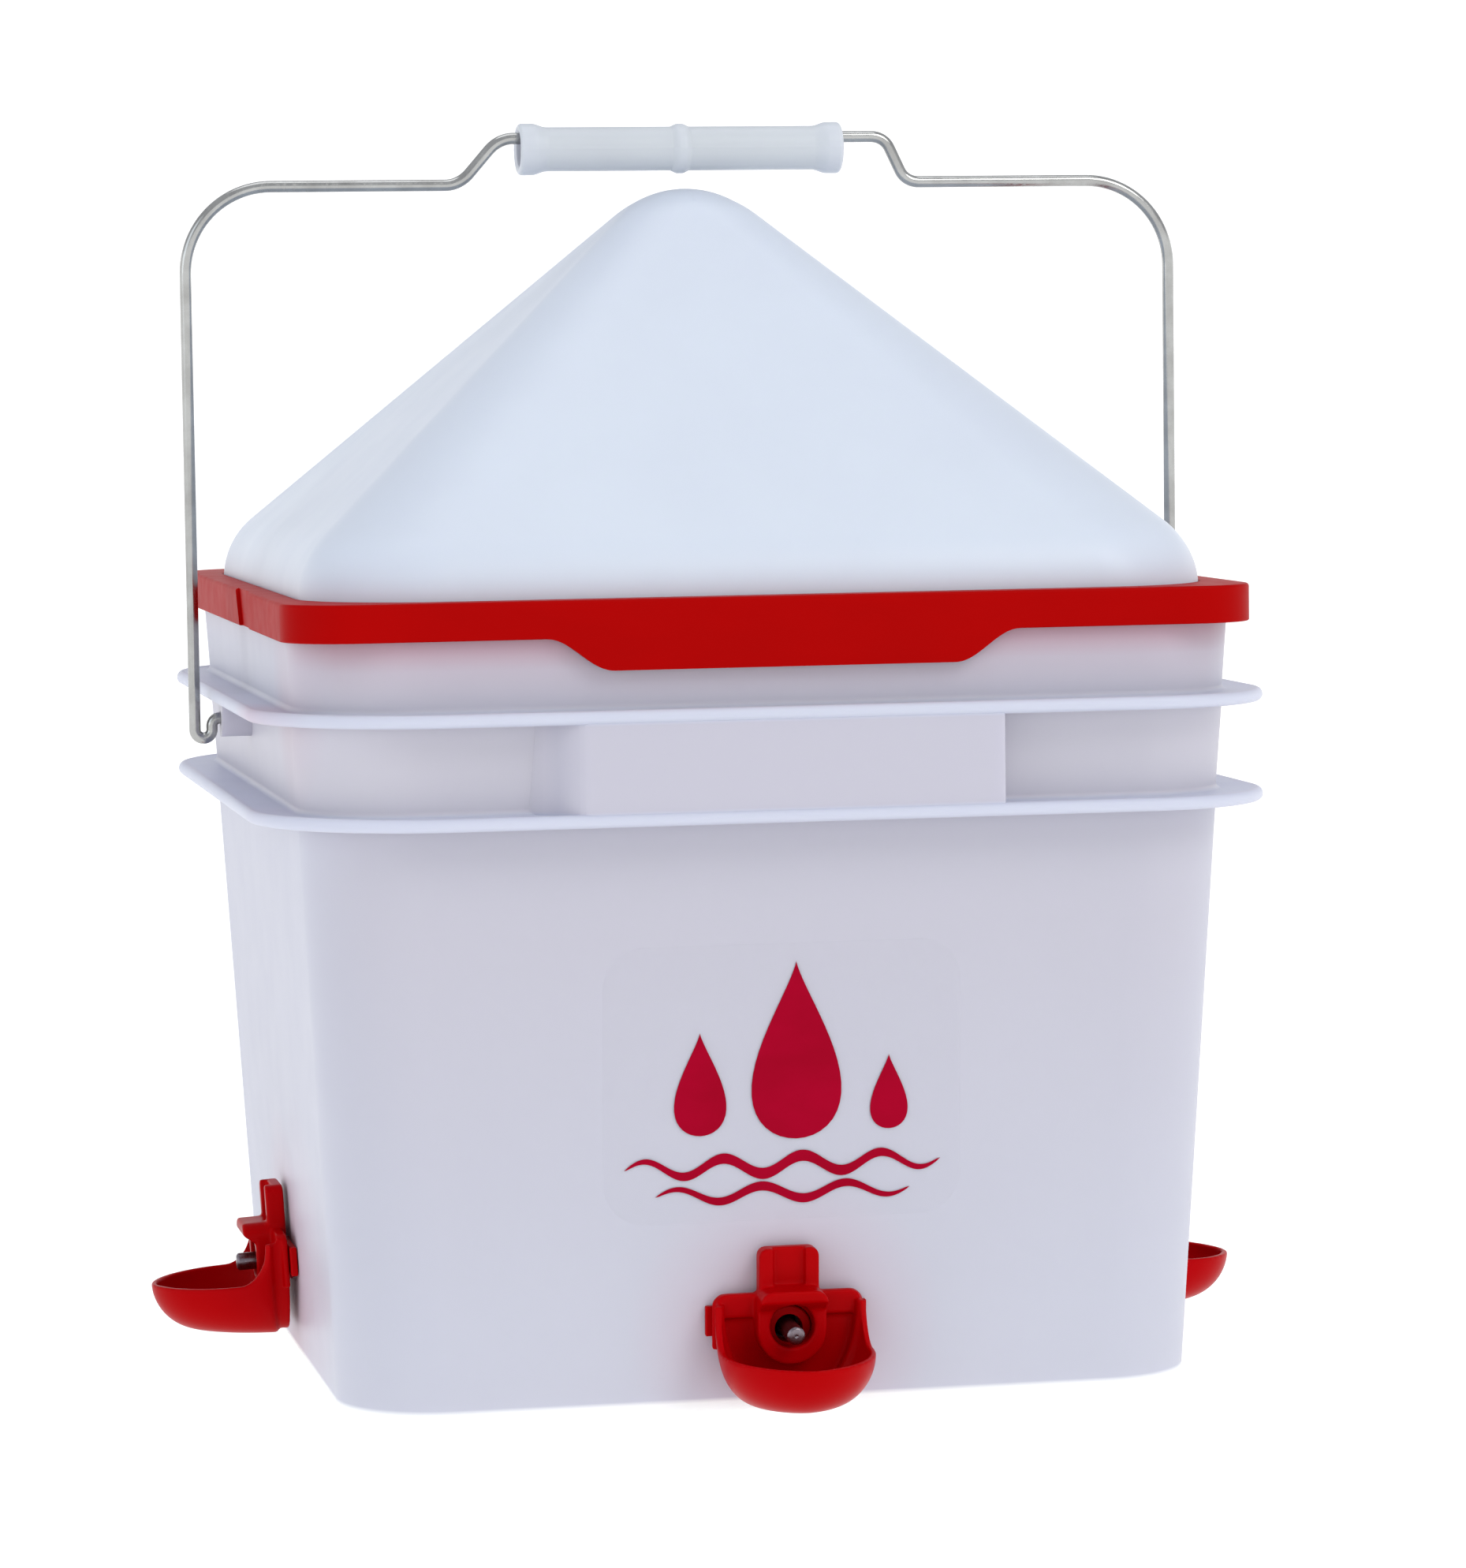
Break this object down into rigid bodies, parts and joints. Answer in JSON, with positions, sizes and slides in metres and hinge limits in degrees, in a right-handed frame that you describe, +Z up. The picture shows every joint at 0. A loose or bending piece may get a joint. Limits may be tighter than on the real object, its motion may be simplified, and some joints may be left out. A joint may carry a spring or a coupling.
{
  "type": "poultry waterer",
  "caption": "Square translucent pail waterer with a clip-on frame, a pyramid roost-proof cover, a wire bail and a trigger-pin drinking cup on each side.",
  "frame": {"origin": "centre of the pail's underside", "axes": "+Z up, the pail's front faces -Y, the bail's axis lies along X"},
  "size_m": [0.3381, 0.3379, 0.3738],
  "materials": {
    "pail_plastic": "translucent natural polyethylene, soft satin",
    "cover_plastic": "translucent bluish white polyethylene, soft satin",
    "frame_plastic": "moulded red plastic, semi-gloss",
    "red_plastic": "moulded red plastic, glossy",
    "bail_wire": "zinc-plated drawn wire",
    "grip_plastic": "translucent polyethylene tube, satin",
    "stainless_pin": "turned stainless steel",
    "spring_wire": "stainless spring wire",
    "rubber_seal": "moulded black rubber",
    "decal_vinyl": "printed clear vinyl sheet"
  },
  "bodies": {
    "pail": {"pail": "pail_plastic", "front_decal": "decal_vinyl", "front_cup": "red_plastic", "front_nipple_body": "red_plastic", "front_seat_seal": "rubber_seal", "front_valve_spring": "spring_wire", "front_end_cap": "red_plastic", "front_wall_gasket": "rubber_seal", "front_lock_nut": "red_plastic", "left_cup": "red_plastic", "left_nipple_body": "red_plastic", "left_seat_seal": "rubber_seal", "left_valve_spring": "spring_wire", "left_end_cap": "red_plastic", "left_wall_gasket": "rubber_seal", "left_lock_nut": "red_plastic", "right_cup": "red_plastic", "right_nipple_body": "red_plastic", "right_seat_seal": "rubber_seal", "right_valve_spring": "spring_wire", "right_end_cap": "red_plastic", "right_wall_gasket": "rubber_seal", "right_lock_nut": "red_plastic", "back_cup": "red_plastic", "back_nipple_body": "red_plastic", "back_seat_seal": "rubber_seal", "back_valve_spring": "spring_wire", "back_end_cap": "red_plastic", "back_wall_gasket": "rubber_seal", "back_lock_nut": "red_plastic"},
    "lid": {"lid_frame": "frame_plastic", "roost_cover": "cover_plastic"},
    "bail": {"bail": "bail_wire"},
    "grip": {"grip": "grip_plastic"},
    "front_trigger": {"front_trigger_pin": "stainless_pin"},
    "left_trigger": {"left_trigger_pin": "stainless_pin"},
    "right_trigger": {"right_trigger_pin": "stainless_pin"},
    "back_trigger": {"back_trigger_pin": "stainless_pin"}
  },
  "joints": [
    {"name": "bail_swing", "type": "hinge", "parent": "pail", "child": "bail", "pos_m": [0, 0, 0.1963], "axis": [1, 0, 0], "range_deg": [-120, 120]},
    {"name": "grip_spin", "type": "hinge", "parent": "bail", "child": "grip", "pos_m": [-0.00135, 0, 0.366], "axis": [1, 0, 0], "continuous": true},
    {"name": "lid_lift", "type": "slide", "parent": "pail", "child": "lid", "axis": [0, 0, 1], "range_m": [0, 0.0035]},
    {"name": "front_trigger_tilt", "type": "hinge", "parent": "pail", "child": "front_trigger", "pos_m": [0, -0.12072, 0.02682], "axis": [1, 0, 0], "range_deg": [-5.5, 5.5], "stiffness_Nm_per_rad": 0.08},
    {"name": "left_trigger_tilt", "type": "hinge", "parent": "pail", "child": "left_trigger", "pos_m": [-0.12099, 0, 0.03182], "axis": [0, -1, 0], "range_deg": [-5.5, 5.5], "stiffness_Nm_per_rad": 0.08},
    {"name": "right_trigger_tilt", "type": "hinge", "parent": "pail", "child": "right_trigger", "pos_m": [0.12072, 0, 0.02682], "axis": [0, 1, 0], "range_deg": [-5.5, 5.5], "stiffness_Nm_per_rad": 0.08},
    {"name": "back_trigger_tilt", "type": "hinge", "parent": "pail", "child": "back_trigger", "pos_m": [0, 0.1208, 0.02832], "axis": [-1, 0, 0], "range_deg": [-5.5, 5.5], "stiffness_Nm_per_rad": 0.08}
  ]
}
